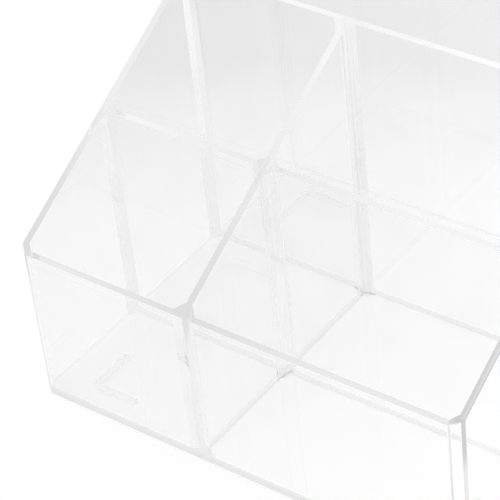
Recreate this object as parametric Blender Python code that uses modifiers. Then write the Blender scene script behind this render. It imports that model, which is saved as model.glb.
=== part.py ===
"""Clear storage box with five open compartments and a rim that slopes up to the back.

Run it with: blender --background --python part.py
Units are metres and +Z is up. X runs along the front, +Y to the back. The origin
lies under the middle of the box, on the surface that the box stands on.

The box is a cemented assembly of clear panels. One wall runs round the two front
corners, a back wall closes it and a base panel lies inside. A long divider and two
cross dividers on each side of it make two columns of two compartments, and leave one
more across the whole back. Every upright corner of the box is cut off by a facet, and
the ends of the dividers flare out, so that the corners inside the compartments are
cut off too. Four angled ribs under the base are its feet.
"""

import math

import bmesh
import bpy

MM = 0.001

# Compartments, measured inside: rows in two columns, then one across the whole back
LEFT_COLUMN = 68.5 * MM
RIGHT_COLUMN = 105.5 * MM
ROW_LENGTH = 50.0 * MM
ROWS = 2
BACK_COMPARTMENT_LENGTH = 50.0 * MM

# Walls, base and dividers
WALL = 2.6 * MM
FLOOR = 2.0 * MM
FRONT_HEIGHT = 65.0 * MM
BACK_HEIGHT = 151.5 * MM
RIM_ROUND = 0.4 * MM

# Facets at 45 degrees to the walls, each by how far it reaches along them
CORNER_FACET = 4.0 * MM
FLARE = 3.8 * MM

# Feet, each an angled rib set in from the corner of the box
FOOT_LEG = 20.5 * MM
FOOT_WIDTH = 2.7 * MM
FOOT_HEIGHT = 1.2 * MM
FOOT_BEND_RADIUS = 4.0 * MM
FOOT_EDGE_ROUND = 0.3 * MM
FOOT_INSET_FROM_SIDE = 15.0 * MM
FOOT_INSET_FROM_END = 11.5 * MM

# Fits and fineness
SEAM = 0.3 * MM
SAME_PLACE = 0.001 * MM
ARC_STEPS = 8
ROUND_STEPS = 2
FLAT_ANGLE = math.radians(1.0)
SHARP_ANGLE = math.radians(40.0)

# Outer box
WIDTH = LEFT_COLUMN + RIGHT_COLUMN + 3 * WALL
DEPTH = WALL + ROWS * (ROW_LENGTH + WALL) + BACK_COMPARTMENT_LENGTH + WALL
LEFT = -WIDTH / 2
RIGHT = WIDTH / 2
FRONT = -DEPTH / 2
BACK = DEPTH / 2

# Inner faces of the outer walls, and the middle plane of the long divider
INNER_LEFT = LEFT + WALL
INNER_RIGHT = RIGHT - WALL
INNER_FRONT = FRONT + WALL
INNER_BACK = BACK - WALL
LONG_DIVIDER_X = INNER_LEFT + LEFT_COLUMN + WALL / 2

# Levels
WALL_BOTTOM = FOOT_HEIGHT + SEAM
FLOOR_TOP = WALL_BOTTOM + FLOOR
DIVIDER_BOTTOM = FLOOR_TOP + SEAM
FRONT_RIM = WALL_BOTTOM + FRONT_HEIGHT
BACK_RIM = WALL_BOTTOM + BACK_HEIGHT
RIM_SLOPE = (BACK_HEIGHT - FRONT_HEIGHT) / (BACK - INNER_FRONT)

# Finishes: colour, roughness and the share of light that passes through
CLEAR_PLASTIC = ((0.93, 0.95, 0.95, 1.0), 0.03, 1.0)
FOOT_PLASTIC = ((0.90, 0.92, 0.92, 1.0), 0.12, 0.9)
PLASTIC_INDEX = 1.49


def clear_scene():
    """Remove every object that the file opened with."""
    for obj in list(bpy.data.objects):
        bpy.data.objects.remove(obj, do_unlink=True)


def make_collection(name):
    """Return a new collection under the scene's own."""
    collection = bpy.data.collections.new(name)
    bpy.context.scene.collection.children.link(collection)
    return collection


def make_plastic(name, finish):
    """Return a see-through plastic material for one piece."""
    colour, roughness, transmission = finish
    material = bpy.data.materials.new(name)
    material.use_nodes = True
    shader = material.node_tree.nodes["Principled BSDF"]
    shader.inputs["Base Color"].default_value = colour
    shader.inputs["Roughness"].default_value = roughness
    shader.inputs["Metallic"].default_value = 0.0
    shader.inputs["IOR"].default_value = PLASTIC_INDEX
    shader.inputs["Transmission Weight"].default_value = transmission
    material.diffuse_color = colour
    return material


def rim_height(y):
    """Return the height of the sloping rim at a depth behind the front wall."""
    return FRONT_RIM + RIM_SLOPE * (y - INNER_FRONT)


def row_divider_y(row):
    """Return the middle plane of the cross divider behind the given row."""
    return INNER_FRONT + row * (ROW_LENGTH + WALL) - WALL / 2


def arc(centre, radius, start, end):
    """Return points on an arc, both ends included, with angles in radians."""
    turns = [start + (end - start) * step / ARC_STEPS for step in range(ARC_STEPS + 1)]
    return [(centre[0] + radius * math.cos(turn), centre[1] + radius * math.sin(turn)) for turn in turns]


def mirrored_in_x(points):
    """Return an outline's points mirrored in X, in the opposite order."""
    return [(-x, y) for x, y in reversed(points)]


def mirrored_in_y(points):
    """Return an outline's points mirrored in Y, in the opposite order."""
    return [(x, -y) for x, y in reversed(points)]


def extruded_outline(name, points, half_thickness):
    """Return a closed mesh object: a flat outline thickened to both sides of z = 0."""
    curve = bpy.data.curves.new(name, "CURVE")
    curve.dimensions = "2D"
    curve.fill_mode = "BOTH"
    curve.extrude = half_thickness
    spline = curve.splines.new("POLY")
    spline.points.add(len(points) - 1)
    for target, (x, y) in zip(spline.points, points):
        target.co = (x, y, 0.0, 1.0)
    spline.use_cyclic_u = True
    drawn = bpy.data.objects.new(name + "_outline", curve)
    bpy.context.scene.collection.objects.link(drawn)
    bpy.context.view_layer.update()
    evaluated = drawn.evaluated_get(bpy.context.evaluated_depsgraph_get())
    mesh = bpy.data.meshes.new_from_object(evaluated)
    mesh.name = name
    welded = bmesh.new()
    welded.from_mesh(mesh)
    bmesh.ops.remove_doubles(welded, verts=welded.verts, dist=SAME_PLACE)
    bmesh.ops.dissolve_limit(welded, angle_limit=FLAT_ANGLE, verts=welded.verts, edges=welded.edges)
    bmesh.ops.recalc_face_normals(welded, faces=welded.faces)
    welded.to_mesh(mesh)
    welded.free()
    bpy.data.objects.remove(drawn, do_unlink=True)
    bpy.data.curves.remove(curve)
    return bpy.data.objects.new(name, mesh)


def add_panel(name, collection, points, bottom, top, finish):
    """Add an upright prism on a plan outline, between two levels, in its finish."""
    panel = extruded_outline(name, points, (top - bottom) / 2)
    panel.location.z = (top + bottom) / 2
    panel.data.materials.clear()
    panel.data.materials.append(make_plastic(name, finish))
    collection.objects.link(panel)
    return panel


def shade(panel):
    """Shade a panel's arcs smooth and leave its sharp edges sharp."""
    panel.data.shade_smooth()
    panel.data.set_sharp_from_angle(angle=SHARP_ANGLE)


def height_on(rim_line, y):
    """Return the height of a rim line, given as (y, z) points from front to back."""
    for (y_start, z_start), (y_end, z_end) in zip(rim_line, rim_line[1:]):
        if y <= y_end:
            break
    return z_start + (z_end - z_start) * (y - y_start) / (y_end - y_start)


def round_top(panel):
    """Round the edges between a panel's level top and the faces below it."""
    rim = bmesh.new()
    rim.from_mesh(panel.data)
    top = max(vertex.co.z for vertex in rim.verts)
    edges = [edge for edge in rim.edges if min(vertex.co.z for vertex in edge.verts) > top - SAME_PLACE]
    bmesh.ops.bevel(
        rim, geom=edges, offset=RIM_ROUND, offset_type="OFFSET", segments=ROUND_STEPS,
        profile=0.5, affect="EDGES", clamp_overlap=False,
    )
    rim.to_mesh(panel.data)
    rim.free()


def bring_to_rim(panel, rim_line):
    """Round a panel's level top, then bring it down to a rim line seen from the side.

    The panel is divided across at the line's bends, so that all its faces stay flat.
    """
    round_top(panel)
    bpy.context.view_layer.update()
    placed = panel.matrix_world.copy()
    rim = bmesh.new()
    rim.from_mesh(panel.data)
    rim.transform(placed)
    top = max(vertex.co.z for vertex in rim.verts)
    for bend_y, _ in rim_line[1:-1]:
        everything = rim.verts[:] + rim.edges[:] + rim.faces[:]
        bmesh.ops.bisect_plane(
            rim, geom=everything, dist=SAME_PLACE, plane_co=(0.0, bend_y, 0.0), plane_no=(0.0, 1.0, 0.0),
        )
    for vertex in rim.verts:
        if vertex.co.z > top - 2 * RIM_ROUND:
            vertex.co.z += height_on(rim_line, vertex.co.y) - top
    rim.transform(placed.inverted())
    rim.to_mesh(panel.data)
    rim.free()
    shade(panel)


def main_rim_line():
    """Return the rim of the box in side view: level over the front wall, then sloping."""
    return [(FRONT, FRONT_RIM), (INNER_FRONT, FRONT_RIM), (BACK, rim_height(BACK))]


def rear_facet_y(x):
    """Return where the left rear facet of the box lies at a place across the box."""
    return BACK - CORNER_FACET + (x - LEFT)


def make_outer_wall(collection):
    """Front and both sides in one panel that runs round the two front corners."""
    outside = [
        (INNER_LEFT, rear_facet_y(INNER_LEFT)),
        (LEFT, rear_facet_y(LEFT)),
        (LEFT, FRONT + CORNER_FACET),
        (LEFT + CORNER_FACET, FRONT),
    ]
    inside = [(INNER_LEFT + FLARE, INNER_FRONT), (INNER_LEFT, INNER_FRONT + FLARE)]
    points = outside + mirrored_in_x(outside) + mirrored_in_x(inside) + inside
    wall = add_panel("outer_wall", collection, points, WALL_BOTTOM, BACK_RIM, CLEAR_PLASTIC)
    bring_to_rim(wall, main_rim_line())


def make_back_wall(collection):
    """Back panel between the side walls, flared at each end of its inner face."""
    end_x = INNER_LEFT + SEAM
    left_end = [
        (LEFT + CORNER_FACET, BACK),
        (end_x, rear_facet_y(end_x)),
        (end_x, INNER_BACK - FLARE + SEAM),
        (INNER_LEFT + FLARE, INNER_BACK),
    ]
    points = left_end + mirrored_in_x(left_end)
    wall = add_panel("back_wall", collection, points, WALL_BOTTOM, BACK_RIM, CLEAR_PLASTIC)
    bring_to_rim(wall, main_rim_line())


def make_base_panel(collection):
    """Floor panel inside the walls and their flares, flush with their lower edges."""
    facet = FLARE + (math.sqrt(2) - 1) * SEAM
    front_left = [
        (INNER_LEFT + SEAM, INNER_FRONT + facet),
        (INNER_LEFT + facet, INNER_FRONT + SEAM),
    ]
    front = front_left + mirrored_in_x(front_left)
    points = front + mirrored_in_y(front)
    base = add_panel("base_panel", collection, points, WALL_BOTTOM, FLOOR_TOP, CLEAR_PLASTIC)
    shade(base)


def divider_corner(length, x_side, y_side, flared):
    """Return one corner of a divider's plan, from its end to its long side."""
    end = x_side * length / 2
    if not flared:
        return [(end, y_side * WALL / 2)]
    reach = FLARE - SEAM
    return [(end, y_side * (WALL / 2 + reach)), (end - x_side * reach, y_side * WALL / 2)]


def divider_outline(length, square_corners=()):
    """Plan of a divider along X, centred, with a flare at each corner but the square ones."""
    def corner(x_side, y_side):
        return divider_corner(length, x_side, y_side, (x_side, y_side) not in square_corners)

    front = corner(-1, -1) + corner(1, -1)[::-1]
    back = corner(1, 1) + corner(-1, 1)[::-1]
    return front + back


def make_long_divider(collection):
    """Divider from the front wall to the last cross dividers, with a sloping top.

    Its back end is square and lies between those dividers, level with their tops.
    """
    start = INNER_FRONT + SEAM
    last_middle = row_divider_y(ROWS)
    end = last_middle + WALL / 2
    top = rim_height(last_middle)
    rim_line = main_rim_line()[:-1] + [(last_middle, top), (end, top)]
    points = divider_outline(end - start, square_corners=[(1, -1), (1, 1)])
    divider = add_panel("long_divider", collection, points, DIVIDER_BOTTOM, top, CLEAR_PLASTIC)
    divider.location.x = LONG_DIVIDER_X
    divider.location.y = (start + end) / 2
    divider.rotation_euler.z = math.pi / 2
    bring_to_rim(divider, rim_line)


def make_cross_divider(collection, name, row, start, end):
    """Divider across one column. Its top is level, and its front flares fall with the rim.

    The last row's dividers have no back flare at the long divider, which ends between them.
    """
    middle = row_divider_y(row)
    top = rim_height(middle)
    front_face = middle - WALL / 2
    back_face = middle + WALL / 2
    rim_line = [(front_face - FLARE, top - RIM_SLOPE * FLARE), (front_face, top), (back_face, top)]
    inner_side = 1 if start < LONG_DIVIDER_X else -1
    square_corners = [(inner_side, 1)] if row == ROWS else []
    points = divider_outline(end - start - 2 * SEAM, square_corners)
    divider = add_panel(name, collection, points, DIVIDER_BOTTOM, top, CLEAR_PLASTIC)
    divider.location.x = (start + end) / 2
    divider.location.y = middle
    bring_to_rim(divider, rim_line)


def foot_outline():
    """Plan of one foot: two legs from the origin along +X and +Y, with a rounded bend."""
    half = FOOT_WIDTH / 2
    bend_centre = (FOOT_BEND_RADIUS, FOOT_BEND_RADIUS)
    inner_radius = FOOT_BEND_RADIUS - FOOT_WIDTH
    points = arc((FOOT_LEG - half, half), half, -math.pi / 2, math.pi / 2)
    points += arc(bend_centre, inner_radius, 1.5 * math.pi, math.pi)
    points += arc((half, FOOT_LEG - half), half, 0.0, math.pi)
    points += arc(bend_centre, FOOT_BEND_RADIUS, math.pi, 1.5 * math.pi)
    return points


def make_feet(collection):
    """Four angled ribs under the base panel, one near each corner."""
    side = LEFT + FOOT_INSET_FROM_SIDE
    end = FRONT + FOOT_INSET_FROM_END
    corners = {
        "front_left_foot": (side, end),
        "front_right_foot": (-side, end),
        "back_right_foot": (-side, -end),
        "back_left_foot": (side, -end),
    }
    for quarter_turns, (name, (x, y)) in enumerate(corners.items()):
        foot = add_panel(name, collection, foot_outline(), 0.0, FOOT_HEIGHT, FOOT_PLASTIC)
        foot.location.x = x
        foot.location.y = y
        foot.rotation_euler.z = quarter_turns * math.pi / 2
        edge = foot.modifiers.new("edge", "BEVEL")
        edge.width = FOOT_EDGE_ROUND
        edge.segments = ROUND_STEPS
        edge.limit_method = "ANGLE"
        edge.angle_limit = SHARP_ANGLE
        shade(foot)


def main():
    """Build the box."""
    clear_scene()
    box = make_collection("compartment_box")
    make_outer_wall(box)
    make_back_wall(box)
    make_base_panel(box)
    make_long_divider(box)
    for row in range(1, ROWS + 1):
        left_end = LONG_DIVIDER_X - WALL / 2
        right_start = LONG_DIVIDER_X + WALL / 2
        make_cross_divider(box, f"left_cross_divider_{row}", row, INNER_LEFT, left_end)
        make_cross_divider(box, f"right_cross_divider_{row}", row, right_start, INNER_RIGHT)
    make_feet(box)


main()
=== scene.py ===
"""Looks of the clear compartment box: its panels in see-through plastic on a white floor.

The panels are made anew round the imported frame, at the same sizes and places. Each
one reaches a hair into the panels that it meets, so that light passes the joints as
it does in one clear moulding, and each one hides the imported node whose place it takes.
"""

import logging
import math
from dataclasses import dataclass
from enum import Enum
from typing import Callable, Sequence

import bmesh
import bpy
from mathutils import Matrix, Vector


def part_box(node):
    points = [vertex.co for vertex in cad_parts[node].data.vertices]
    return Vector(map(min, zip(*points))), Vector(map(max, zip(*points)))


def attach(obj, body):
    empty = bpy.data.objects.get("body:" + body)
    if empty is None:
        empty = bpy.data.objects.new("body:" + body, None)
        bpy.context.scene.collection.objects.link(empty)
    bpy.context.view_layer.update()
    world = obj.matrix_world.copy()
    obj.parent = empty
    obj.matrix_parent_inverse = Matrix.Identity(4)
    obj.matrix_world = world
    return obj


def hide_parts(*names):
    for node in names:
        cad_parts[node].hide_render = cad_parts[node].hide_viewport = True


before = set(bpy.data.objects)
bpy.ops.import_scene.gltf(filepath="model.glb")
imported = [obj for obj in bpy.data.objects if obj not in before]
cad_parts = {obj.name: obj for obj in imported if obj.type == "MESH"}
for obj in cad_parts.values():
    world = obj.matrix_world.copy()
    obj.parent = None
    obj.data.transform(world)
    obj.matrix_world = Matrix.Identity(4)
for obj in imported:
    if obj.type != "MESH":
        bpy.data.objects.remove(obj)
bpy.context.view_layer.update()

MM = 0.001
MERGE_DISTANCE = 0.001 * MM
SHARP_ANGLE = math.radians(25.0)
FACE_AREA_WEIGHT = 100

# How near each other two whole numbers are taken as equal
EQUAL_WITHIN = 0.1

# Opposite corners in the order of an object's bounding box
LOW_CORNER, HIGH_CORNER = 0, 6

Point = tuple[float, float]
Span = tuple[float, float]
Triple = tuple[float, float, float]
Feed = bpy.types.NodeSocket | float

log = logging.getLogger("clear_box")


def link(obj: bpy.types.Object) -> bpy.types.Object:
    """Put an object in the scene and return it."""
    bpy.context.scene.collection.objects.link(obj)
    return obj


def object_of(name: str, mesh: bmesh.types.BMesh) -> bpy.types.Object:
    """Put a mesh in the scene as an object.

    Args:
        name: The object's name.
        mesh: The mesh, which is freed.

    Returns:
        The new object.
    """
    data = bpy.data.meshes.new(name)
    mesh.to_mesh(data)
    mesh.free()
    return link(bpy.data.objects.new(name, data))


def made_plain(obj: bpy.types.Object) -> bpy.types.Object:
    """Replace an object's mesh and modifiers by the plain mesh that they make.

    Args:
        obj: The object.

    Returns:
        The same object.
    """
    bpy.context.view_layer.update()
    depsgraph = bpy.context.evaluated_depsgraph_get()
    start = obj.data
    obj.data = bpy.data.meshes.new_from_object(
        obj.evaluated_get(depsgraph), preserve_all_data_layers=True, depsgraph=depsgraph
    )
    obj.data.name = obj.name
    obj.modifiers.clear()
    bpy.data.meshes.remove(start)
    return obj


def add_node(
    tree: bpy.types.NodeTree, kind: str, feeds: dict[str | int, object] | None = None, **settings: object
) -> bpy.types.Node:
    """Add a node to a tree.

    Args:
        tree: The shader or geometry tree.
        kind: The node's type name.
        feeds: For an input's name or number, the socket that feeds it or its value.
        **settings: Properties of the node itself.

    Returns:
        The new node.
    """
    node = tree.nodes.new(kind)
    for name, value in settings.items():
        setattr(node, name, value)
    for key, feed in (feeds or {}).items():
        if isinstance(feed, bpy.types.NodeSocket):
            tree.links.new(feed, node.inputs[key])
        else:
            node.inputs[key].default_value = feed
    return node


def maths(tree: bpy.types.NodeTree, operation: str, *terms: Feed) -> bpy.types.NodeSocket:
    """Add a Math node on the terms, in the order of its inputs, and return its result."""
    return add_node(tree, "ShaderNodeMath", dict(enumerate(terms)), operation=operation).outputs[0]


def ranged(
    tree: bpy.types.NodeTree, value: Feed, ends: Span, results: Span, **settings: object
) -> bpy.types.NodeSocket:
    """Add a Map Range node, with a result for both ends of a value, and return its result."""
    given = {"Value": value, 1: ends[0], 2: ends[1], 3: results[0], 4: results[1]}
    return add_node(tree, "ShaderNodeMapRange", given, **settings).outputs["Result"]


def split(tree: bpy.types.NodeTree, vector: bpy.types.NodeSocket) -> tuple[bpy.types.NodeSocket, ...]:
    """Split a vector and return its X, Y and Z."""
    return tuple(add_node(tree, "ShaderNodeSeparateXYZ", {0: vector}).outputs)


def reach_along(
    tree: bpy.types.NodeTree, vector: bpy.types.NodeSocket, heading: Triple
) -> bpy.types.NodeSocket:
    """Return how far a vector reaches along a heading."""
    feeds = {0: vector, 1: heading}
    return add_node(tree, "ShaderNodeVectorMath", feeds, operation="DOT_PRODUCT").outputs["Value"]


def noise(
    tree: bpy.types.NodeTree, place: bpy.types.NodeSocket, size: float, detail: float = 0.0
) -> bpy.types.NodeSocket:
    """Add a noise with patches of about the given size, and return its value."""
    feeds = {"Vector": place, "Scale": 1 / size, "Detail": detail}
    return add_node(tree, "ShaderNodeTexNoise", feeds).outputs["Fac"]


def mixed(
    tree: bpy.types.NodeTree, share: Feed, first: bpy.types.Node, second: bpy.types.Node
) -> bpy.types.Node:
    """Add a Mix Shader node in which the second shader has the given share, and return it."""
    feeds = {0: share, 1: first.outputs[0], 2: second.outputs[0]}
    return add_node(tree, "ShaderNodeMixShader", feeds)


def grey(level: float) -> tuple[float, float, float, float]:
    """Return a neutral colour as a node takes it."""
    return (level, level, level, 1.0)


def quarter_turns(steps: int) -> list[float]:
    """Return the angles at both ends of each step of a quarter turn."""
    return [math.pi / 2 * step / steps for step in range(steps + 1)]


def facet(corner: Point, reach: float, drawn_in: float = 0.0) -> list[Point]:
    """Return both ends of the facet that cuts off the left front corner of an outline.

    Args:
        corner: The corner that is cut off.
        reach: How far the facet reaches along each side.
        drawn_in: How far the sides and the facet are then moved inwards.

    Returns:
        The facet's ends, first the one on the left side.
    """
    x, y = corner
    along = reach + (math.sqrt(2) - 1) * drawn_in
    return [(x + drawn_in, y + along), (x + along, y + drawn_in)]


def eased(
    outline: Sequence[Point], radius: float, steps: int, most_turn: float = math.radians(60)
) -> list[Point]:
    """Round the blunt corners of a closed outline, and leave the sharp ones.

    Args:
        outline: The outline's corners.
        radius: Radius of the round corners.
        steps: How many straight steps each one has.
        most_turn: The outline turns by less than this at a blunt corner.

    Returns:
        The outline's points.
    """
    points = []
    for before, corner, after in zip(outline[-1:] + outline[:-1], outline, outline[1:] + outline[:1]):
        here = Vector(corner)
        arriving = (here - Vector(before)).normalized()
        leaving = (Vector(after) - here).normalized()
        turn = arriving.angle_signed(leaving)
        if abs(turn) > most_turn:
            points.append(corner)
            continue
        start = here - arriving * radius * math.tan(abs(turn) / 2)
        inwards = Vector((arriving.y, -arriving.x)) * math.copysign(1.0, turn)
        for step in range(steps + 1):
            angle = abs(turn) * step / steps
            point = start + radius * (arriving * math.sin(angle) + inwards * (1 - math.cos(angle)))
            points.append(tuple(point))
    return points


def mirrored_in_x(points: Sequence[Point]) -> list[Point]:
    """Return an outline's points mirrored in X, in the opposite order."""
    return [(-x, y) for x, y in reversed(points)]


def mirrored_in_y(points: Sequence[Point]) -> list[Point]:
    """Return an outline's points mirrored in Y, in the opposite order."""
    return [(x, -y) for x, y in reversed(points)]


@dataclass(frozen=True)
class BoxSizes:
    """Sizes and places of the box, in metres.

    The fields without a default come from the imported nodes' boxes and the seam between
    them. The bite is how far one panel reaches into the next, and a cove is the round
    rise at a panel's foot or at the edge of the floor.
    """

    left: float
    front: float
    back: float
    inner_left: float
    inner_front: float
    bottom: float
    floor_top: float
    front_rim: float
    slope: float
    long_divider_x: float
    seam: float
    bite: float = 0.04 * MM
    corner_facet: float = 4.0 * MM
    inner_facet: float = 2.4 * MM
    flare: float = 3.2 * MM
    rim_round: float = 0.45 * MM
    base_round: float = 0.3 * MM
    upright_round: float = 0.3 * MM
    cove: float = 1.2 * MM
    wall_cove: float = 0.5 * MM
    round_steps: int = 4

    @classmethod
    def from_frame(cls, seam: float = 0.3 * MM) -> "BoxSizes":
        """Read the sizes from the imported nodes.

        Args:
            seam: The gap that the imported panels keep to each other.

        Returns:
            The sizes.
        """
        wall, back_wall, base = (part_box(node) for node in ("outer_wall", "back_wall", "base_panel"))
        first, second, lengthwise = (
            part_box(node) for node in ("left_cross_divider_1", "left_cross_divider_2", "long_divider")
        )
        first_y, second_y = ((low.y + high.y) / 2 for low, high in (first, second))
        slope = (second[1].z - first[1].z) / (second_y - first_y)
        inner_front = base[0].y - seam
        return cls(
            left=wall[0].x,
            front=wall[0].y,
            back=back_wall[1].y,
            inner_left=base[0].x - seam,
            inner_front=inner_front,
            bottom=wall[0].z,
            floor_top=base[1].z,
            front_rim=first[1].z - slope * (first_y - inner_front),
            slope=slope,
            long_divider_x=(lengthwise[0].x + lengthwise[1].x) / 2,
            seam=seam,
        )

    @property
    def wall(self) -> float:
        """Thickness of every wall and divider."""
        return self.inner_left - self.left

    @property
    def back_rim(self) -> float:
        """Height of the rim at the back."""
        return self.rim_at(self.back)

    def rim_at(self, y: float) -> float:
        """Return the height of the rim at a depth."""
        return self.front_rim + self.slope * max(0.0, y - self.inner_front)

    def rear_facet_y(self, x: float, drawn_in: float) -> float:
        """Return the depth at which the left rear facet, drawn in by a distance, has the given X."""
        return self.back - self.corner_facet - math.sqrt(2) * drawn_in + (x - self.left)


@dataclass(frozen=True)
class PaintedEdgeGlow:
    """How bright the painted glow is that stands in for the light a panel keeps inside.

    It shows in the rims, and grows from the front of the box to the back. In the panels
    that run across the box it also grows away from the long divider. In the others it is
    weaker in front, most of all on the right, and at the back of the left wall. Well
    below the rim, where the corners and the feet of the panels show it, it is about as
    bright as what is behind them, and darker at the front wall.

    The rim's slope starts at rim_start, a depth and a height, and the long divider is at
    middle_x. Each field of ends holds two places along one axis, or two distances. The
    field after it holds the values there: strengths, gains, losses, or shares from 0 to 1.
    """

    rim_start: Point
    slope: float
    middle_x: float
    depth_ends: Span = (-80.0 * MM, 30.0 * MM)
    strengths: Span = (0.74, 0.93)
    apart_ends: Span = (0.0, 60.0 * MM)
    apart_gains: Span = (0.0, 0.09)
    front_ends: Span = (-45.0 * MM, -20.0 * MM)
    front_shares: Span = (1.0, 0.0)
    across_ends: Span = (-10.0 * MM, 85.0 * MM)
    front_losses: Span = (0.04, 0.15)
    left_ends: Span = (-85.0 * MM, -75.0 * MM)
    left_shares: Span = (1.0, 0.0)
    rear_ends: Span = (-5.0 * MM, 30.0 * MM)
    rear_losses: Span = (0.0, 0.1)
    below_ends: Span = (25.0 * MM, 33.0 * MM)
    deep_shares: Span = (0.0, 1.0)
    deep_ends: Span = (-79.0 * MM, -60.0 * MM)
    deep_strengths: Span = (0.76, 0.88)

    @classmethod
    def from_sizes(cls, sizes: BoxSizes) -> "PaintedEdgeGlow":
        """Return the glow of a box of the given sizes."""
        return cls((sizes.inner_front, sizes.front_rim), sizes.slope, sizes.long_divider_x)

    def near_rim(
        self, tree: bpy.types.NodeTree, x: bpy.types.NodeSocket, y: bpy.types.NodeSocket
    ) -> bpy.types.NodeSocket:
        """Return the strength that the glow has in and near the rims.

        Args:
            tree: The material's tree.
            x: The place across the box.
            y: The place along it.

        Returns:
            The socket that holds the strength.
        """
        normal = add_node(tree, "ShaderNodeNewGeometry").outputs["True Normal"]
        sideways = maths(tree, "ABSOLUTE", split(tree, normal)[0])
        apart = maths(tree, "ABSOLUTE", maths(tree, "SUBTRACT", x, self.middle_x))
        gain = ranged(tree, apart, self.apart_ends, self.apart_gains)
        gained = maths(tree, "MULTIPLY", maths(tree, "SUBTRACT", 1.0, sideways), gain)
        in_front = ranged(tree, y, self.front_ends, self.front_shares)
        front_loss = ranged(tree, x, self.across_ends, self.front_losses)
        on_left = ranged(tree, x, self.left_ends, self.left_shares)
        rear_loss = ranged(tree, y, self.rear_ends, self.rear_losses)
        left_loss = maths(tree, "MULTIPLY", on_left, rear_loss)
        losses = maths(tree, "MULTIPLY_ADD", in_front, front_loss, left_loss)
        lost = maths(tree, "MULTIPLY", sideways, losses)
        along = ranged(tree, y, self.depth_ends, self.strengths)
        return maths(tree, "SUBTRACT", maths(tree, "ADD", along, gained), lost)

    def strength(self, tree: bpy.types.NodeTree, place: bpy.types.NodeSocket) -> bpy.types.NodeSocket:
        """Return the glow's strength.

        Args:
            tree: The material's tree.
            place: The place in the object.

        Returns:
            The socket that holds the strength.
        """
        x, y, z = split(tree, place)
        behind = maths(tree, "MAXIMUM", maths(tree, "SUBTRACT", y, self.rim_start[0]), 0.0)
        rim = maths(tree, "MULTIPLY_ADD", behind, self.slope, self.rim_start[1])
        below = maths(tree, "SUBTRACT", rim, z)

        # A Mix node takes its share as input 0 and two numbers as inputs 2 and 3
        feeds = {
            0: ranged(tree, below, self.below_ends, self.deep_shares),
            2: self.near_rim(tree, x, y),
            3: ranged(tree, y, self.deep_ends, self.deep_strengths),
        }
        return add_node(tree, "ShaderNodeMix", feeds, data_type="FLOAT").outputs[0]


@dataclass(frozen=True)
class ClearPlastic:
    """Polished see-through plastic with the small faults of a moulded piece.

    The colour is what one surface lets through. Lamps and the light that surfaces
    send each other pass straight through it, a little dimmed, because a thin clear
    panel hardly bends them. Past the given number of glossy turns inside a panel, the
    surface shows a painted glow, set by place, that stands in for the light kept inside.
    """

    name: str
    glow: PaintedEdgeGlow
    colour: Triple = (0.988, 0.988, 0.988)
    deeper_share: float = 0.985
    deeper_levels: Span = (0.3, 0.55)
    tint_detail: float = 2.0
    lamp_share: float = 0.975
    index: float = 1.49
    roughness: float = 0.0
    haze: float = 0.02
    ripple: float = 0.012
    ripple_size: float = 22.0 * MM
    ripple_depth: float = 2.2 * MM
    scuff_size: float = 3.5 * MM
    scuff_levels: Span = (0.55, 0.75)
    scuff_detail: float = 3.0
    clear_turns: float = 1.5

    def material(self) -> bpy.types.Material:
        """Make the finish.

        Returns:
            The new material.
        """
        material = bpy.data.materials.new(self.name)
        material.use_nodes = True
        tree = material.node_tree
        shader = tree.nodes["Principled BSDF"]
        shader.inputs["IOR"].default_value = self.index
        shader.inputs["Transmission Weight"].default_value = 1.0
        place = add_node(tree, "ShaderNodeTexCoord").outputs["Object"]
        tree.links.new(self.tint(tree, place), shader.inputs["Base Color"])
        tree.links.new(self.scuffs(tree, place), shader.inputs["Roughness"])
        tree.links.new(self.ripples(tree, place), shader.inputs["Normal"])
        path = add_node(tree, "ShaderNodeLightPath")
        # Past a few glossy turns the panel shows a painted glow, set by place, in place of the plastic's
        # own shading
        trapped = maths(tree, "GREATER_THAN", path.outputs["Glossy Depth"], self.clear_turns)
        painted_glow = add_node(tree, "ShaderNodeEmission", {"Strength": self.glow.strength(tree, place)})
        seen = mixed(tree, trapped, shader, painted_glow)
        passing = maths(tree, "MAXIMUM", path.outputs["Is Shadow Ray"], path.outputs["Is Diffuse Ray"])
        let_through = add_node(tree, "ShaderNodeBsdfTransparent", {"Color": grey(self.lamp_share)})
        surface = mixed(tree, passing, seen, let_through)
        tree.links.new(surface.outputs[0], tree.nodes["Material Output"].inputs["Surface"])
        return material

    def tint(self, tree: bpy.types.NodeTree, place: bpy.types.NodeSocket) -> bpy.types.NodeSocket:
        """Return a colour that is a trace deeper in soft patches, as flow marks are.

        Args:
            tree: The material's tree.
            place: The place in the object.

        Returns:
            The socket that holds the colour.
        """
        patches = noise(tree, place, self.ripple_size, self.tint_detail)
        ramp = add_node(tree, "ShaderNodeValToRGB", {"Fac": patches})
        stops = zip(ramp.color_ramp.elements, (self.deeper_share, 1.0), self.deeper_levels)
        for stop, share, level in stops:
            stop.color = (*(channel * share for channel in self.colour), 1.0)
            stop.position = level
        return ramp.outputs["Color"]

    def scuffs(self, tree: bpy.types.NodeTree, place: bpy.types.NodeSocket) -> bpy.types.NodeSocket:
        """Return a roughness that is polished, with faint worn patches.

        Args:
            tree: The material's tree.
            place: The place in the object.

        Returns:
            The socket that holds the roughness.
        """
        patches = noise(tree, place, self.scuff_size, self.scuff_detail)
        worn = self.roughness + self.haze
        return ranged(tree, patches, self.scuff_levels, (self.roughness, worn))

    def ripples(self, tree: bpy.types.NodeTree, place: bpy.types.NodeSocket) -> bpy.types.NodeSocket:
        """Return a normal that waves a very little, as moulded sheet does.

        Args:
            tree: The material's tree.
            place: The place in the object.

        Returns:
            The socket that holds the normal.
        """
        waves = noise(tree, place, self.ripple_size)
        feeds = {"Strength": self.ripple, "Distance": self.ripple_depth, "Height": waves}
        return add_node(tree, "ShaderNodeBump", feeds).outputs["Normal"]


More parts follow.
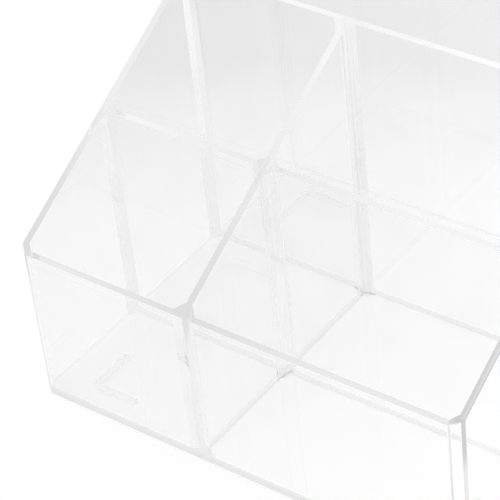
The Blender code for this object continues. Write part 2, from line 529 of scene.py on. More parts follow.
def finished(obj: bpy.types.Object, material: bpy.types.Material) -> bpy.types.Object:
    """Merge a piece's doubles, turn its faces outwards, shade it and give it its material.

    Args:
        obj: The piece, in place.
        material: Its material.

    Returns:
        The same object, with a plain mesh.
    """
    mesh = bmesh.new()
    mesh.from_mesh(obj.data)
    bmesh.ops.remove_doubles(mesh, verts=mesh.verts, dist=MERGE_DISTANCE)
    bmesh.ops.recalc_face_normals(mesh, faces=mesh.faces)
    mesh.to_mesh(obj.data)
    mesh.free()
    obj.data.shade_smooth()
    obj.data.set_sharp_from_angle(angle=SHARP_ANGLE)
    even = obj.modifiers.new("even_normals", "WEIGHTED_NORMAL")
    even.mode = "FACE_AREA"
    even.weight = FACE_AREA_WEIGHT
    even.keep_sharp = True
    made_plain(obj)
    obj.data.materials.clear()
    obj.data.materials.append(material)
    return obj


def dressed(piece: bpy.types.Object, material: bpy.types.Material, node: str) -> bpy.types.Object:
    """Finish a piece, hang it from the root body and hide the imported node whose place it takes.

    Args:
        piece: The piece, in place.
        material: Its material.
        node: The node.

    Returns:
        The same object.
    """
    finished(piece, material)
    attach(piece, "root")
    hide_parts(node)
    return piece


def lofted(mesh: bmesh.types.BMesh, outlines: list[list[Triple]]) -> list[list[bmesh.types.BMVert]]:
    """Join a stack of outlines into a closed body.

    Args:
        mesh: The mesh that takes it.
        outlines: The outlines, lowest first, all with as many points.

    Returns:
        The new vertices of each outline.
    """
    rings = [[mesh.verts.new(point) for point in outline] for outline in outlines]
    mesh.faces.new(reversed(rings[0]))
    mesh.faces.new(rings[-1])
    for lower, upper in zip(rings, rings[1:]):
        for here in range(len(lower)):
            after = (here + 1) % len(lower)
            mesh.faces.new((lower[here], lower[after], upper[after], upper[here]))
    return rings


def standing_panel(
    name: str, plan_at: Callable[[float, float], list[Point]], sizes: BoxSizes
) -> bpy.types.Object:
    """Make an upright panel from its plan, with a rounded rim and a rounded outer base edge.

    It is made with a level rim, which is cut at the bend and then set to its slope.

    Args:
        name: The piece's name.
        plan_at: Gives the plan when its outer and its inner side are drawn in by two distances.
        sizes: The box's sizes.

    Returns:
        The new object.
    """
    turns = quarter_turns(sizes.round_steps)
    base, rim = sizes.base_round, sizes.rim_round
    levels = [(base * (1 - math.sin(t)), 0.0, sizes.bottom + base * (1 - math.cos(t))) for t in turns]
    for turn in turns:
        drawn_in = rim * (1 - math.cos(turn))
        levels.append((drawn_in, drawn_in, sizes.back_rim - rim * (1 - math.sin(turn))))
    mesh = bmesh.new()
    rings = lofted(mesh, [[(x, y, z) for x, y in plan_at(outer, inner)] for outer, inner, z in levels])
    rim_verts = {vert for ring in rings[len(turns):] for vert in ring}
    rim_parts = list(rim_verts)
    rim_parts += [edge for edge in mesh.edges if rim_verts.issuperset(edge.verts)]
    rim_parts += [face for face in mesh.faces if rim_verts.issuperset(face.verts)]
    bend = (0.0, sizes.inner_front, 0.0)
    bmesh.ops.bisect_plane(
        mesh, geom=rim_parts, plane_co=bend, plane_no=(0.0, 1.0, 0.0), dist=MERGE_DISTANCE
    )
    half_way = (sizes.bottom + sizes.back_rim) / 2
    for vertex in mesh.verts:
        if vertex.co.z > half_way:
            vertex.co.z += sizes.rim_at(vertex.co.y) - sizes.back_rim
    return object_of(name, mesh)


@dataclass
class Walls:
    """The outer wall with its faceted corners, the back wall and the base panel."""

    sizes: BoxSizes
    plastic: ClearPlastic
    base_plastic: ClearPlastic

    def outer_wall_plan(self, outer: float, inner: float) -> list[Point]:
        """Return the plan of the front and both sides, with facets at the corners.

        Args:
            outer: How far the outer side is drawn in.
            inner: How far the inner side is drawn in.

        Returns:
            The plan's points.
        """
        s = self.sizes
        outside = [
            (s.inner_left - inner, s.rear_facet_y(s.inner_left - inner, outer)),
            (s.left + outer, s.rear_facet_y(s.left + outer, outer)),
        ]
        outside += facet((s.left, s.front), s.corner_facet, outer)
        inside = facet((s.inner_left, s.inner_front), s.inner_facet, -inner)[::-1]
        outline = outside + mirrored_in_x(outside) + mirrored_in_x(inside) + inside
        return eased(outline, s.upright_round, s.round_steps)

    def back_wall_plan(self, outer: float, inner: float) -> list[Point]:
        """Return the plan of the back wall, with a flare at each end of its inner face.

        Args:
            outer: How far the outer side is drawn in.
            inner: How far the inner side is drawn in.

        Returns:
            The plan's points.
        """
        s = self.sizes
        seated_x = s.inner_left - inner - s.bite
        outer_end = mirrored_in_y(facet((s.left, s.front), s.corner_facet, outer))[0]
        flare_end, flare_start = mirrored_in_y(facet((s.inner_left, s.inner_front), s.inner_facet, -inner))
        left_end = [
            outer_end,
            (seated_x, s.rear_facet_y(seated_x, outer)),
            (seated_x, flare_start[1] - s.bite),
            flare_end,
        ]
        return eased(left_end + mirrored_in_x(left_end), s.upright_round, s.round_steps)

    def base_plan(self, drawn_in: float) -> list[Point]:
        """Return the plan of the base panel.

        Args:
            drawn_in: How far it is drawn in all round.

        Returns:
            The plan's points.
        """
        s = self.sizes
        front_left = facet((s.inner_left, s.inner_front), s.inner_facet, drawn_in)
        front = front_left + mirrored_in_x(front_left)
        return front + mirrored_in_y(front)

    def base_panel(self) -> bpy.types.Object:
        """Make the floor of the box, which rises to the walls all round in a cove.

        It reaches half as far into the walls as the dividers do, so that no two faces
        lie in one plane.

        Returns:
            The new object.
        """
        s = self.sizes
        seated = s.bite / 2
        levels = [(-seated, s.bottom)]
        for turn in quarter_turns(s.round_steps):
            drawn_in = s.wall_cove * (1 - math.cos(turn)) - seated
            levels.append((drawn_in, s.floor_top + s.wall_cove * (1 - math.sin(turn))))
        mesh = bmesh.new()
        lofted(mesh, [[(x, y, z) for x, y in self.base_plan(drawn_in)] for drawn_in, z in levels])
        return object_of("base_panel_sheet", mesh)

    def build(self) -> list[bpy.types.Object]:
        """Make and dress the three panels.

        Returns:
            The panels.
        """
        clear = self.plastic.material()
        outer_wall = standing_panel("outer_wall_panel", self.outer_wall_plan, self.sizes)
        back_wall = standing_panel("back_wall_panel", self.back_wall_plan, self.sizes)
        return [
            dressed(outer_wall, clear, "outer_wall"),
            dressed(back_wall, clear, "back_wall"),
            dressed(self.base_panel(), self.base_plastic.material(), "base_panel"),
        ]


class InputKind(Enum):
    """What an input of a geometry tree takes."""

    NUMBER = "NodeSocketFloat"
    WHOLE_NUMBER = "NodeSocketInt"
    PLACE = "NodeSocketVector"
    MATERIAL = "NodeSocketMaterial"


class GeometryTree:
    """A geometry node tree with named inputs, and the pieces that it makes.

    Its tests give 1 where they hold and 0 elsewhere. Whole numbers are set against a
    value half way between two of them, so that rounding can't tip a test.
    """

    def __init__(self, name: str, numbers: Sequence[str], others: dict[str, InputKind]) -> None:
        """Make a tree with its inputs and its geometry output, and nothing between them.

        Args:
            name: The tree's name.
            numbers: The names of the inputs that take a number.
            others: The kind of each other input, by its name.
        """
        self.tree = bpy.data.node_groups.new(name, "GeometryNodeTree")
        for label, kind in (dict.fromkeys(numbers, InputKind.NUMBER) | others).items():
            self.tree.interface.new_socket(label, in_out="INPUT", socket_type=kind.value)
        self.tree.interface.new_socket("Geometry", in_out="OUTPUT", socket_type="NodeSocketGeometry")
        self.inputs = self.tree.nodes.new("NodeGroupInput").outputs

    def add(
        self, kind: str, feeds: dict[str | int, object] | None = None, **settings: object
    ) -> bpy.types.Node:
        """Add a node to the tree and return it."""
        return add_node(self.tree, kind, feeds, **settings)

    def maths(self, operation: str, *terms: Feed) -> bpy.types.NodeSocket:
        """Add a Math node to the tree and return its result."""
        return maths(self.tree, operation, *terms)

    def half(self, length: Feed) -> bpy.types.NodeSocket:
        """Return half of a length."""
        return self.maths("MULTIPLY", length, 0.5)

    def unless(self, test: Feed) -> bpy.types.NodeSocket:
        """Return 0 where a test holds and 1 elsewhere."""
        return self.maths("SUBTRACT", 1.0, test)

    def side_of(self, test: Feed) -> bpy.types.NodeSocket:
        """Return 1 where a test holds and -1 elsewhere."""
        return self.maths("SUBTRACT", self.maths("MULTIPLY", test, 2.0), 1.0)

    def equals(self, number: Feed, other: Feed) -> bpy.types.NodeSocket:
        """Test whether two whole numbers are equal."""
        return self.maths("COMPARE", number, other, EQUAL_WITHIN)

    def vector(self, x: Feed, y: Feed, z: Feed) -> bpy.types.NodeSocket:
        """Join three sockets or numbers into a vector."""
        return self.add("ShaderNodeCombineXYZ", {0: x, 1: y, 2: z}).outputs[0]

    def index(self) -> bpy.types.NodeSocket:
        """Return the number of a point, from 0."""
        return self.add("GeometryNodeInputIndex").outputs[0]

    def place(self) -> tuple[bpy.types.NodeSocket, ...]:
        """Return X, Y and Z of a point."""
        return split(self.tree, self.add("GeometryNodeInputPosition").outputs[0])

    def moved(self, geometry: bpy.types.Node, x: Feed, y: Feed, z: Feed = 0.0) -> bpy.types.Node:
        """Move each point of a node's geometry to a new place, and return the last node."""
        feeds = {"Geometry": geometry.outputs[0], "Position": self.vector(x, y, z)}
        return self.add("GeometryNodeSetPosition", feeds)

    def stations(self, count: int) -> bpy.types.Node:
        """Return a line with the given number of points, which are still to be placed."""
        line = self.add("GeometryNodeCurvePrimitiveLine", {"End": (1.0, 0.0, 0.0)})
        return self.add("GeometryNodeResampleCurve", {"Curve": line.outputs[0], "Count": count})

    def kept(self, curve: bpy.types.Node, values: dict[str, bpy.types.NodeSocket]) -> bpy.types.Node:
        """Keep values for each point of a curve, to be read once it is swept.

        Args:
            curve: The node that gives the curve.
            values: The values, by their labels.

        Returns:
            The node that gives the curve and the values.
        """
        capture = self.add("GeometryNodeCaptureAttribute", {"Geometry": curve.outputs[0]}, domain="POINT")
        for label, value in values.items():
            capture.capture_items.new("FLOAT", label)
            self.tree.links.new(value, capture.inputs[label])
        return capture

    def close(self, geometry: bpy.types.Node) -> None:
        """End the tree in Realize Instances and Set Material.

        Args:
            geometry: The node that gives the geometry.
        """
        real = self.add("GeometryNodeRealizeInstances", {"Geometry": geometry.outputs[0]})
        feeds = {"Geometry": real.outputs[0], "Material": self.inputs["Material"]}
        self.add("NodeGroupOutput", {0: self.add("GeometryNodeSetMaterial", feeds).outputs[0]})

    def piece(self, name: str, values: dict[str, object]) -> bpy.types.Object:
        """Run the tree once.

        Args:
            name: The new piece's name.
            values: A value for each input that isn't zero.

        Returns:
            The piece, with a plain mesh and no modifier.
        """
        obj = link(bpy.data.objects.new(name, bpy.data.meshes.new(name + "_start")))
        modifier = obj.modifiers.new(name, "NODES")
        modifier.node_group = self.tree
        items = self.tree.interface.items_tree
        sockets = {item.name: item.identifier for item in items if item.in_out == "INPUT"}
        for label, value in values.items():
            modifier[sockets[label]] = value
        return made_plain(obj)


def coved_section(tree: GeometryTree, steps: int) -> bpy.types.Node:
    """Add an upright panel's section to a tree, with its -Y upwards.

    It is one closed line of four arcs: a round one on both sides of the rim, and a
    cove on both sides of the foot.

    Args:
        tree: The tree, with inputs for the section's sizes.
        steps: How many straight steps each arc has.

    Returns:
        The node that gives the section.
    """
    given, maths_of = tree.inputs, tree.maths
    arcs, per_arc = 4, steps + 1
    quarter = math.pi / 2
    ring = tree.add("GeometryNodeCurvePrimitiveCircle", {"Resolution": arcs * per_arc})

    # The number of each point's arc, and its angle, which runs back on every other arc.
    # Half a point more keeps the quotient clear of a whole number.
    index = tree.index()
    arc = maths_of("FLOOR", maths_of("DIVIDE", maths_of("ADD", index, 0.5), float(per_arc)))
    is_odd = maths_of("ROUND", maths_of("MODULO", arc, 2.0))
    passed = maths_of("MULTIPLY", maths_of("MODULO", index, float(per_arc)), quarter / steps)
    back = maths_of("MULTIPLY", is_odd, maths_of("SUBTRACT", quarter, maths_of("MULTIPLY", passed, 2.0)))
    turn = maths_of("ADD", passed, back)

    # The first two arcs are at the rim, and the first and last one on the same side
    middle = (arcs - 1) / 2
    at_foot = maths_of("GREATER_THAN", arc, middle)
    level = maths_of("MULTIPLY", tree.side_of(at_foot), -1.0)
    from_middle = maths_of("ABSOLUTE", maths_of("SUBTRACT", arc, middle))
    side = tree.side_of(maths_of("GREATER_THAN", from_middle, 1.0))

    wider = maths_of("MULTIPLY", at_foot, maths_of("SUBTRACT", given["Cove"], given["Rim Round"]))
    radius = maths_of("ADD", given["Rim Round"], wider)
    sideways = maths_of("MULTIPLY", radius, maths_of("SUBTRACT", 1.0, maths_of("COSINE", turn)))
    upwards = maths_of("MULTIPLY", radius, maths_of("SUBTRACT", 1.0, maths_of("SINE", turn)))
    half_width = maths_of("SUBTRACT", tree.half(given["Thickness"]), maths_of("MULTIPLY", level, sideways))
    below_end = maths_of("SUBTRACT", upwards, tree.half(given["Height"]))
    return tree.moved(ring, maths_of("MULTIPLY", side, half_width), maths_of("MULTIPLY", level, below_end))


def flared_panel_line(tree: GeometryTree) -> bpy.types.Node:
    """Add the middle line of an upright panel to a tree, with what each end's flare needs.

    Each end has three stations: inside the wall that it meets, at the wall, and past
    the flare, or a little way in where the end is square.

    Args:
        tree: The tree, with inputs for the panel's sizes.

    Returns:
        The node that gives the line and, for each point, the flare's reach and how far
        the end's outline moves as the rim's rounding draws it in.
    """
    given, maths_of = tree.inputs, tree.maths
    stations, least_flare, square_inset = 6, 0.1 * MM, 1.0 * MM
    line = tree.stations(stations)
    index = tree.index()
    from_end = maths_of("MINIMUM", index, maths_of("SUBTRACT", stations - 1.0, index))
    is_far = maths_of("GREATER_THAN", index, (stations - 1) / 2)
    is_sunk = maths_of("LESS_THAN", from_end, 0.5)
    at_wall = maths_of("LESS_THAN", from_end, 1.5)
    past_flare = tree.unless(at_wall)
    side = tree.side_of(is_far)
    far_flare = maths_of("MULTIPLY", is_far, given["Far Flare"])
    end_flare = maths_of("ADD", far_flare, maths_of("MULTIPLY", tree.unless(is_far), given["Near Flare"]))
    is_flared = maths_of("GREATER_THAN", end_flare, least_flare)
    inset = maths_of("MULTIPLY", maths_of("MAXIMUM", end_flare, square_inset), past_flare)
    inside = maths_of("SUBTRACT", tree.half(given["Length"]), inset)
    reach = maths_of("ADD", inside, maths_of("MULTIPLY", given["Bite"], is_sunk))
    placed = tree.moved(line, maths_of("MULTIPLY", side, reach), 0.0)

    diagonal = math.sqrt(2)
    to_wall = maths_of("ADD", at_wall, maths_of("MULTIPLY", past_flare, diagonal - 1))
    flared_wall = maths_of("MULTIPLY", at_wall, is_flared)
    return tree.kept(placed, {
        "Flare": maths_of("MULTIPLY", end_flare, at_wall),
        "Towards Wall": maths_of("MULTIPLY", maths_of("MULTIPLY", side, is_flared), to_wall),
        "From Panel": maths_of("MULTIPLY", flared_wall, 2 - diagonal),
    })


def flared_panel_tree(round_steps: int) -> GeometryTree:
    """Make the tree of an upright panel along X whose ends may flare out in facets.

    Its rim may rise along the panel, and fall across the flares on its front side.

    Args:
        round_steps: How many straight steps each rounded edge has.

    Returns:
        The tree.
    """
    numbers = (
        "Length", "Thickness", "Height", "Near Flare", "Far Flare", "Rim Round", "Cove", "Bite",
        "Rise", "Fall", "Turn",
    )
    others = {"Place": InputKind.PLACE, "Material": InputKind.MATERIAL}
    tree = GeometryTree("flared_panel", numbers, others)
    given, maths_of = tree.inputs, tree.maths
    line = flared_panel_line(tree)
    section = coved_section(tree, round_steps)
    swept = tree.add(
        "GeometryNodeCurveToMesh",
        {"Curve": line.outputs["Geometry"], "Profile Curve": section.outputs[0], "Fill Caps": True},
    )

    # Flare the ends
    x, y, z = tree.place()
    half_thickness = tree.half(given["Thickness"])
    drawn_in = maths_of("MAXIMUM", maths_of("SUBTRACT", half_thickness, maths_of("ABSOLUTE", y)), 0.0)
    reached = maths_of("ADD", x, maths_of("MULTIPLY", drawn_in, line.outputs["Towards Wall"]))
    from_panel = maths_of("MULTIPLY", drawn_in, line.outputs["From Panel"])
    spread = maths_of("ADD", line.outputs["Flare"], from_panel)
    flared = maths_of("ADD", y, maths_of("MULTIPLY", maths_of("SIGN", y), spread))

    # Let the rim rise along the panel and fall across the front flares, and stand it on its foot
    in_front = maths_of("SUBTRACT", maths_of("MULTIPLY", flared, -1.0), half_thickness)
    fallen = maths_of("MULTIPLY", given["Fall"], maths_of("MAXIMUM", in_front, 0.0))
    along = maths_of("ADD", reached, tree.half(given["Length"]))
    risen = maths_of("MULTIPLY", given["Rise"], maths_of("MAXIMUM", along, 0.0))
    at_rim = maths_of("GREATER_THAN", z, 0.0)
    lifted = maths_of("ADD", z, maths_of("MULTIPLY", at_rim, maths_of("SUBTRACT", risen, fallen)))
    shaped = tree.moved(swept, reached, flared, maths_of("ADD", lifted, tree.half(given["Height"])))
    feeds = {
        "Geometry": shaped.outputs[0],
        "Translation": given["Place"],
        "Rotation": tree.vector(0.0, 0.0, given["Turn"]),
    }
    tree.close(tree.add("GeometryNodeTransform", feeds))
    return tree


class Column(Enum):
    """The two columns of compartments."""

    LEFT = "left"
    RIGHT = "right"


@dataclass
class Dividers:
    """The long divider and the four cross dividers, all from one tree."""

    sizes: BoxSizes
    plastic: ClearPlastic
    rows: tuple[int, ...] = (1, 2)

    @property
    def foot_level(self) -> float:
        """Height at which the dividers begin, just inside the base panel."""
        return self.sizes.floor_top - self.sizes.bite

    def common(self, material: bpy.types.Material) -> dict[str, object]:
        """Return the inputs that every divider shares.

        Args:
            material: The dividers' material.

        Returns:
            The values, by the inputs' names.
        """
        s = self.sizes
        return {
            "Thickness": s.wall,
            "Near Flare": s.flare,
            "Far Flare": s.flare,
            "Rim Round": s.rim_round,
            "Cove": s.cove,
            "Bite": s.bite,
            "Material": material,
        }

    def middle_y(self, row: int) -> float:
        """Return the depth of the middle plane of the cross dividers behind a row."""
        low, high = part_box(f"left_cross_divider_{row}")
        return (low.y + high.y) / 2

    def long_divider(self, tree: GeometryTree, shared: dict[str, object]) -> bpy.types.Object:
        """Make the divider from the front wall to the last cross dividers.

        Args:
            tree: The dividers' tree.
            shared: The inputs that every divider shares.

        Returns:
            The new object.
        """
        s = self.sizes
        end_y = self.middle_y(self.rows[-1]) - s.wall / 2
        return tree.piece("long_divider_panel", shared | {
            "Length": end_y - s.inner_front,
            "Height": s.front_rim - self.foot_level,
            "Rise": s.slope,
            "Turn": math.pi / 2,
            "Place": (s.long_divider_x, (s.inner_front + end_y) / 2, self.foot_level),
        })

    def cross_divider(
        self, tree: GeometryTree, shared: dict[str, object], column: Column, row: int
    ) -> bpy.types.Object:
        """Make one level divider across a column, behind a row.

        The last row's pair meets end to end where the long divider stops against it.

        Args:
            tree: The dividers' tree.
            shared: The inputs that every divider shares.
            column: The column.
            row: The row's number.

        Returns:
            The new object.
        """
        s = self.sizes
        low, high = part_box(f"{column.value}_cross_divider_{row}")
        start_x, end_x = low.x - s.seam, high.x + s.seam
        own = dict(shared)
        if row == self.rows[-1] and column is Column.LEFT:
            end_x = s.long_divider_x
            own["Far Flare"] = 0.0
        elif row == self.rows[-1]:
            start_x = s.long_divider_x
            own["Near Flare"] = 0.0
        return tree.piece(f"{column.value}_cross_panel_{row}", own | {
            "Length": end_x - start_x,
            "Height": high.z - self.foot_level,
            "Fall": s.slope,
            "Place": ((start_x + end_x) / 2, self.middle_y(row), self.foot_level),
        })

    def build(self) -> list[bpy.types.Object]:
        """Make and dress the five dividers.

        Returns:
            The dividers.
        """
        material = self.plastic.material()
        tree = flared_panel_tree(self.sizes.round_steps)
        shared = self.common(material)
        made = {"long_divider": self.long_divider(tree, shared)}
        for column in Column:
            for row in self.rows:
                panel = self.cross_divider(tree, shared, column, row)
                made[f"{column.value}_cross_divider_{row}"] = panel
        return [dressed(panel, material, node) for node, panel in made.items()]


def foot_line(tree: GeometryTree, half_width: bpy.types.NodeSocket, points: int) -> bpy.types.Node:
    """Add the middle line of a foot's two legs to a tree, with its corner at the origin.

    Args:
        tree: The tree, with inputs for the foot's sizes.
        half_width: Half the width of a leg.
        points: How many points the line has in the end.

    Returns:
        The node that gives the line and, for each point, how far the leg is narrowed
        there: its ends are round in plan, so it narrows as a circle does.
    """
    given, maths_of = tree.inputs, tree.maths
    bend_steps, least_share = 10, 0.05

    # The two ends of the legs and the corner between them
    stations = 3
    index = tree.index()
    run = maths_of("SUBTRACT", given["Leg"], half_width)
    x = maths_of("MULTIPLY", tree.equals(index, stations - 1.0), run)
    y = maths_of("MULTIPLY", tree.equals(index, 0.0), run)
    feeds = {
        "Curve": tree.moved(tree.stations(stations), x, y).outputs[0],
        "Count": bend_steps,
        "Radius": maths_of("SUBTRACT", given["Bend Radius"], half_width),
    }
    bent = tree.add("GeometryNodeFilletCurve", feeds, mode="POLY")
    fine = tree.add("GeometryNodeResampleCurve", {"Curve": bent.outputs[0], "Count": points})
    passed = tree.add("GeometryNodeSplineParameter").outputs["Length"]
    total = tree.add("GeometryNodeCurveLength", {"Curve": fine.outputs[0]}).outputs[0]
    to_end = maths_of("MINIMUM", passed, maths_of("SUBTRACT", total, passed))
    short_of = maths_of("SUBTRACT", 1.0, maths_of("MINIMUM", maths_of("DIVIDE", to_end, half_width), 1.0))
    as_circle = maths_of("SQRT", maths_of("SUBTRACT", 1.0, maths_of("MULTIPLY", short_of, short_of)))
    return tree.kept(fine, {"Narrowed": maths_of("MAXIMUM", as_circle, least_share)})


def foot_section(tree: GeometryTree, full_height: bpy.types.NodeSocket) -> bpy.types.Node:
    """Add the section of a foot's legs to a tree, round at its lower edges.

    Args:
        tree: The tree, with inputs for the foot's sizes.
        full_height: The height of a leg with its bite into the base panel.

    Returns:
        The node that gives the section, with its -Y upwards and its upper edge on X.
    """
    given, maths_of = tree.inputs, tree.maths
    edge_steps = 4
    section = tree.add(
        "GeometryNodeCurvePrimitiveQuadrilateral", {"Width": given["Width"], "Height": full_height}
    )
    at_foot = maths_of("GREATER_THAN", tree.place()[1], 0.0)
    edge_round = maths_of("MULTIPLY", at_foot, given["Edge Round"])
    feeds = {"Curve": section.outputs[0], "Count": edge_steps, "Radius": edge_round}
    rounded = tree.add("GeometryNodeFilletCurve", feeds, mode="POLY")
    hanging = tree.vector(0.0, tree.half(full_height), 0.0)
    return tree.add("GeometryNodeTransform", {"Geometry": rounded.outputs[0], "Translation": hanging})


def foot_tree(line_points: int) -> GeometryTree:
    """Make the tree of an angled rib, placed at one corner of a rectangle.

    Args:
        line_points: How many points its middle line has.

    Returns:
        The tree.
    """
    numbers = ("Leg", "Width", "Height", "Bend Radius", "Edge Round", "Bite", "Span X", "Span Y")
    others = {"Corner": InputKind.WHOLE_NUMBER, "Material": InputKind.MATERIAL}
    tree = GeometryTree("angled_foot", numbers, others)
    given, maths_of = tree.inputs, tree.maths
    half_width = tree.half(given["Width"])
    full_height = maths_of("ADD", given["Height"], given["Bite"])
    line = foot_line(tree, half_width, line_points)
    feeds = {
        "Curve": line.outputs["Geometry"],
        "Profile Curve": foot_section(tree, full_height).outputs[0],
        "Scale": line.outputs["Narrowed"],
        "Fill Caps": True,
    }
    swept = tree.add("GeometryNodeCurveToMesh", feeds)
    from_corner = tree.vector(half_width, half_width, full_height)
    feeds = {"Geometry": swept.outputs[0], "Translation": from_corner}
    stood = tree.add("GeometryNodeTransform", feeds)

    # One copy at the chosen corner of the rectangle, turned to face its middle
    spans = {"Width": given["Span X"], "Height": given["Span Y"]}
    rectangle = tree.add("GeometryNodeCurvePrimitiveQuadrilateral", spans)
    on_right, at_back = (maths_of("GREATER_THAN", part, 0.0) for part in tree.place()[:2])
    differ = maths_of("ABSOLUTE", maths_of("SUBTRACT", on_right, at_back))
    number = maths_of("ADD", maths_of("MULTIPLY", at_back, 2.0), differ)
    corners = tree.add("GeometryNodeCurveToPoints", {"Curve": rectangle.outputs[0]}, mode="EVALUATED")
    feeds = {
        "Points": corners.outputs[0],
        "Selection": tree.equals(number, given["Corner"]),
        "Instance": stood.outputs[0],
        "Rotation": tree.vector(0.0, 0.0, maths_of("MULTIPLY", number, math.pi / 2)),
    }
    tree.close(tree.add("GeometryNodeInstanceOnPoints", feeds))
    return tree


class Corner(Enum):
    """The corners of the base, in the order of their quarter turns."""

    FRONT_LEFT = 0
    FRONT_RIGHT = 1
    BACK_RIGHT = 2
    BACK_LEFT = 3

    @property
    def node(self) -> str:
        """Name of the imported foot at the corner."""
        return f"{self.name.lower()}_foot"


@dataclass
class Feet:
    """Four angled ribs under the base panel."""

    sizes: BoxSizes
    plastic: ClearPlastic
    leg: float = 20.5 * MM
    width: float = 2.7 * MM
    bend_radius: float = 4.0 * MM
    edge_round: float = 0.5 * MM
    line_points: int = 90

    def foot(self, tree: GeometryTree, corner: Corner, material: bpy.types.Material) -> bpy.types.Object:
        """Make one foot.

        Args:
            tree: The feet's tree.
            corner: The corner at which it stands.
            material: Its material.

        Returns:
            The new object.
        """
        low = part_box("front_left_foot")[0]
        return tree.piece(f"{corner.node}_rib", {
            "Leg": self.leg,
            "Width": self.width,
            "Height": self.sizes.bottom - low.z,
            "Bend Radius": self.bend_radius,
            "Edge Round": self.edge_round,
            "Bite": self.sizes.bite,
            "Span X": -2 * low.x,
            "Span Y": -2 * low.y,
            "Corner": corner.value,
            "Material": material,
        })

    def build(self) -> list[bpy.types.Object]:
        """Make and dress the four feet.

        Returns:
            The feet.
        """
        tree = foot_tree(self.line_points)
        material = self.plastic.material()
        return [dressed(self.foot(tree, corner, material), material, corner.node) for corner in Corner]


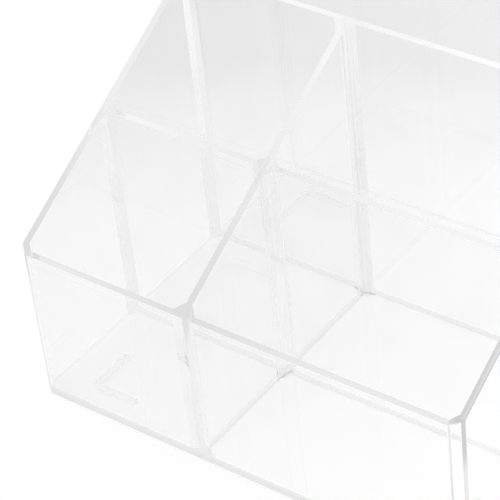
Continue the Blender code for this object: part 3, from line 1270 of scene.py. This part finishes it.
@dataclass
class Studio:
    """The white floor, the soft light all round and the white backdrop.

    The floor glows for the eye alone, so that it is white and still takes a shadow. Seen
    straight it has one even glow. Seen through the plastic it has another, with painted
    shade: it slants and fades twice across the floor, darker to the left and the left rear.
    """

    floor_width: float = 0.7
    floor_colour: float = 0.8
    floor_glow: float = 0.3
    seen_through: float = 0.339
    slant_per_metre: Triple = (0.69, 0.034, 0.0)
    fade_heading: Triple = (-0.473, 0.881, 0.0)
    long_fade_ends: Span = (50.0 * MM, 180.0 * MM)
    long_fade: float = 0.1
    short_fade_ends: Span = (154.0 * MM, 194.0 * MM)
    short_fade: float = 0.05
    horizon: float = 0.7
    sides: float = 0.8
    side_height: float = 0.35
    overhead: float = 1.0
    overhead_height: float = 0.9
    backdrop_heading: Triple = (0.59, -0.8, 0.0)
    backdrop_ends: Span = (-0.2, 0.6)
    most_bounces: int = 32
    most_see_through: int = 64

    def build(self) -> None:
        """Set the view, let light cross many panels, and make the floor and the world."""
        scene = bpy.context.scene
        scene.view_settings.view_transform = "Standard"
        scene.cycles.max_bounces = self.most_bounces
        scene.cycles.transmission_bounces = self.most_bounces
        scene.cycles.glossy_bounces = self.most_bounces
        scene.cycles.transparent_max_bounces = self.most_see_through
        self.floor()
        self.world()

    def floor(self) -> None:
        """Make the floor and give it its white material."""
        mesh = bmesh.new()
        bmesh.ops.create_grid(mesh, x_segments=1, y_segments=1, size=self.floor_width / 2)
        floor = object_of("floor", mesh)
        material = bpy.data.materials.new("white_floor")
        material.use_nodes = True
        tree = material.node_tree
        tree.nodes.clear()
        paint = add_node(tree, "ShaderNodeBsdfDiffuse", {"Color": grey(self.floor_colour)})
        path = add_node(tree, "ShaderNodeLightPath")
        bent = maths(tree, "MAXIMUM", path.outputs["Is Glossy Ray"], path.outputs["Is Transmission Ray"])
        straight = maths(tree, "MULTIPLY", path.outputs["Is Camera Ray"], self.floor_glow)
        through = maths(tree, "MULTIPLY", bent, self.painted_shade_glow(tree))
        glow = add_node(tree, "ShaderNodeEmission", {"Strength": maths(tree, "ADD", straight, through)})
        both = add_node(tree, "ShaderNodeAddShader", {0: paint.outputs[0], 1: glow.outputs[0]})
        add_node(tree, "ShaderNodeOutputMaterial", {"Surface": both.outputs[0]})
        floor.data.materials.append(material)

    def painted_shade_glow(self, tree: bpy.types.NodeTree) -> bpy.types.NodeSocket:
        """Return the floor's glow as seen through the plastic.

        It is painted shade: less to the left, and fading in two steps towards the left rear.

        Args:
            tree: The floor's tree.

        Returns:
            The socket that holds the glow's strength.
        """
        place = add_node(tree, "ShaderNodeTexCoord").outputs["Object"]
        behind = reach_along(tree, place, self.fade_heading)
        glow = maths(tree, "ADD", reach_along(tree, place, self.slant_per_metre), self.seen_through)
        for ends, fade in ((self.long_fade_ends, self.long_fade), (self.short_fade_ends, self.short_fade)):
            step = ranged(tree, behind, ends, (0.0, fade), interpolation_type="SMOOTHSTEP")
            glow = maths(tree, "SUBTRACT", glow, step)
        return maths(tree, "MAXIMUM", glow, 0.0)

    def world(self) -> None:
        """Light the box from all round, a little less from the sides, on a white backdrop.

        The backdrop also shows through the plastic towards the front of the box.
        """
        world = bpy.data.worlds.new("white_studio")
        bpy.context.scene.world = world
        world.use_nodes = True
        tree = world.node_tree
        tree.nodes.clear()
        direction = add_node(tree, "ShaderNodeTexCoord").outputs["Generated"]
        shade = add_node(tree, "ShaderNodeValToRGB", {"Fac": split(tree, direction)[2]})
        lowest, highest = shade.color_ramp.elements
        lowest.color = grey(self.horizon)
        highest.color = grey(self.overhead)
        highest.position = self.overhead_height
        shade.color_ramp.elements.new(self.side_height).color = grey(self.sides)
        around = add_node(tree, "ShaderNodeBackground", {"Color": shade.outputs["Color"]})
        backdrop = add_node(tree, "ShaderNodeBackground", {"Color": grey(1.0)})
        path = add_node(tree, "ShaderNodeLightPath")
        ahead = ranged(
            tree, reach_along(tree, direction, self.backdrop_heading), self.backdrop_ends, (0.0, 1.0)
        )
        through = maths(tree, "MULTIPLY", path.outputs["Is Transmission Ray"], ahead)
        seen = maths(tree, "MAXIMUM", path.outputs["Is Camera Ray"], through)
        add_node(tree, "ShaderNodeOutputWorld", {"Surface": mixed(tree, seen, around, backdrop).outputs[0]})


@dataclass
class PhotoCamera:
    """The camera that the photo was taken with, as fitted to the box's edges."""

    place: Triple = (0.3926, -0.52904, 0.56819)
    turn_degrees: Triple = (51.6966, 5.2497, 35.9049)
    lens: float = 170.0622
    sensor: float = 36.0
    nearest: float = 0.01
    farthest: float = 20.0

    def build(self) -> bpy.types.Object:
        """Make the camera and set it as the scene's own.

        Returns:
            The camera.
        """
        data = bpy.data.cameras.new("photo_camera")
        data.lens = self.lens
        data.sensor_width = self.sensor
        data.clip_start = self.nearest
        data.clip_end = self.farthest
        camera = link(bpy.data.objects.new("photo_camera", data))
        camera.location = self.place
        camera.rotation_euler = [math.radians(angle) for angle in self.turn_degrees]
        bpy.context.scene.camera = camera
        return camera


def main() -> None:
    """Build the studio and the box, and report each piece."""
    logging.basicConfig(level=logging.INFO, format="%(message)s")
    PhotoCamera().build()
    Studio().build()
    sizes = BoxSizes.from_frame()
    glow = PaintedEdgeGlow.from_sizes(sizes)
    groups = (
        Walls(sizes, ClearPlastic("clear_wall", glow), ClearPlastic("clear_base", glow, haze=0.04)),
        Dividers(sizes, ClearPlastic("clear_divider", glow)),
        Feet(sizes, ClearPlastic("clear_foot", glow, roughness=0.03, haze=0.05)),
    )
    for group in groups:
        for piece in group.build():
            low, high = (Vector(piece.bound_box[corner]) for corner in (LOW_CORNER, HIGH_CORNER))
            size = ", ".join(f"{length / MM:.1f}" for length in high - low)
            log.info("%s: %d faces, %s mm", piece.name, len(piece.data.polygons), size)


if __name__ == "__main__":
    main()
